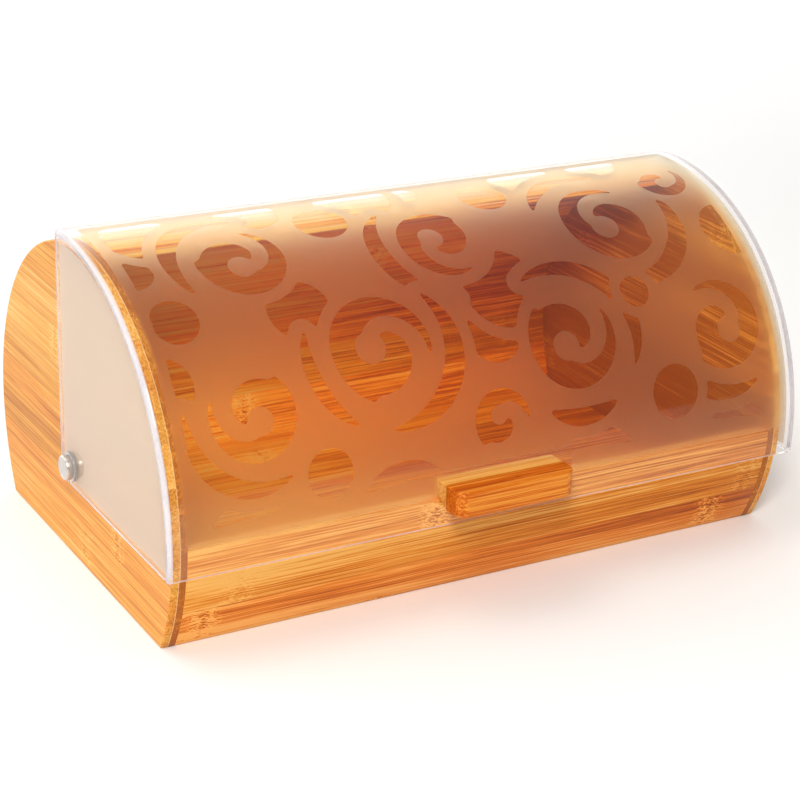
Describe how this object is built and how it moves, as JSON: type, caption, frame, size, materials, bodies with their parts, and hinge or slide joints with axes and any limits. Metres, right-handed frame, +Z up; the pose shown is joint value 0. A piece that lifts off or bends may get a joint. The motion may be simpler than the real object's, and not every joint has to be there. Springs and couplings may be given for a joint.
{
  "type": "bread box with roll top",
  "caption": "Bamboo bread box with round sides and a curved frosted acrylic lid that swings up and back over the case on side pivots.",
  "frame": {"origin": "centre of the underside of the overall box, on the table surface", "axes": "+Z up, +X to the object's left as it faces you from -Y (the pivot axis runs along X), front with the handle towards -Y"},
  "size_m": [0.4008, 0.266, 0.1905],
  "materials": {
    "bamboo_side": "lacquered bamboo plywood, satin",
    "bamboo_board": "lacquered strip bamboo, satin",
    "bamboo_handle": "lacquered bamboo, satin",
    "dowel": "plain",
    "acrylic_clear": "clear acrylic with a satin frosted ornament",
    "acrylic_frosted": "satin frosted acrylic",
    "clear_plastic": "clear nylon",
    "pin_steel": "satin",
    "screw_steel": "zinc plated",
    "brass": "turned"
  },
  "bodies": {
    "case": {"left_side_panel": "bamboo_side", "right_side_panel": "bamboo_side", "front_board": "bamboo_board", "back_shell": "bamboo_board", "base_board": "bamboo_board", "base_board_dowels": "dowel", "front_board_dowels": "dowel", "back_shell_dowels": "dowel", "left_pivot_screw": "pin_steel", "right_pivot_screw": "pin_steel", "left_pivot_bush": "clear_plastic", "right_pivot_bush": "clear_plastic", "left_pivot_spacer_washer": "clear_plastic", "right_pivot_spacer_washer": "clear_plastic", "left_pivot_threaded_insert": "brass", "right_pivot_threaded_insert": "brass"},
    "lid": {"lid_curved_sheet": "acrylic_clear", "lid_left_wing": "acrylic_frosted", "lid_right_wing": "acrylic_frosted", "handle_bar": "bamboo_handle", "handle_stop_block": "bamboo_handle", "handle_screws": "screw_steel"}
  },
  "joints": [
    {"name": "lid_swing", "type": "hinge", "parent": "case", "child": "lid", "pos_m": [0, 0.0105, 0.06], "axis": [-1, 0, 0], "range_deg": [0, 79.4]}
  ]
}
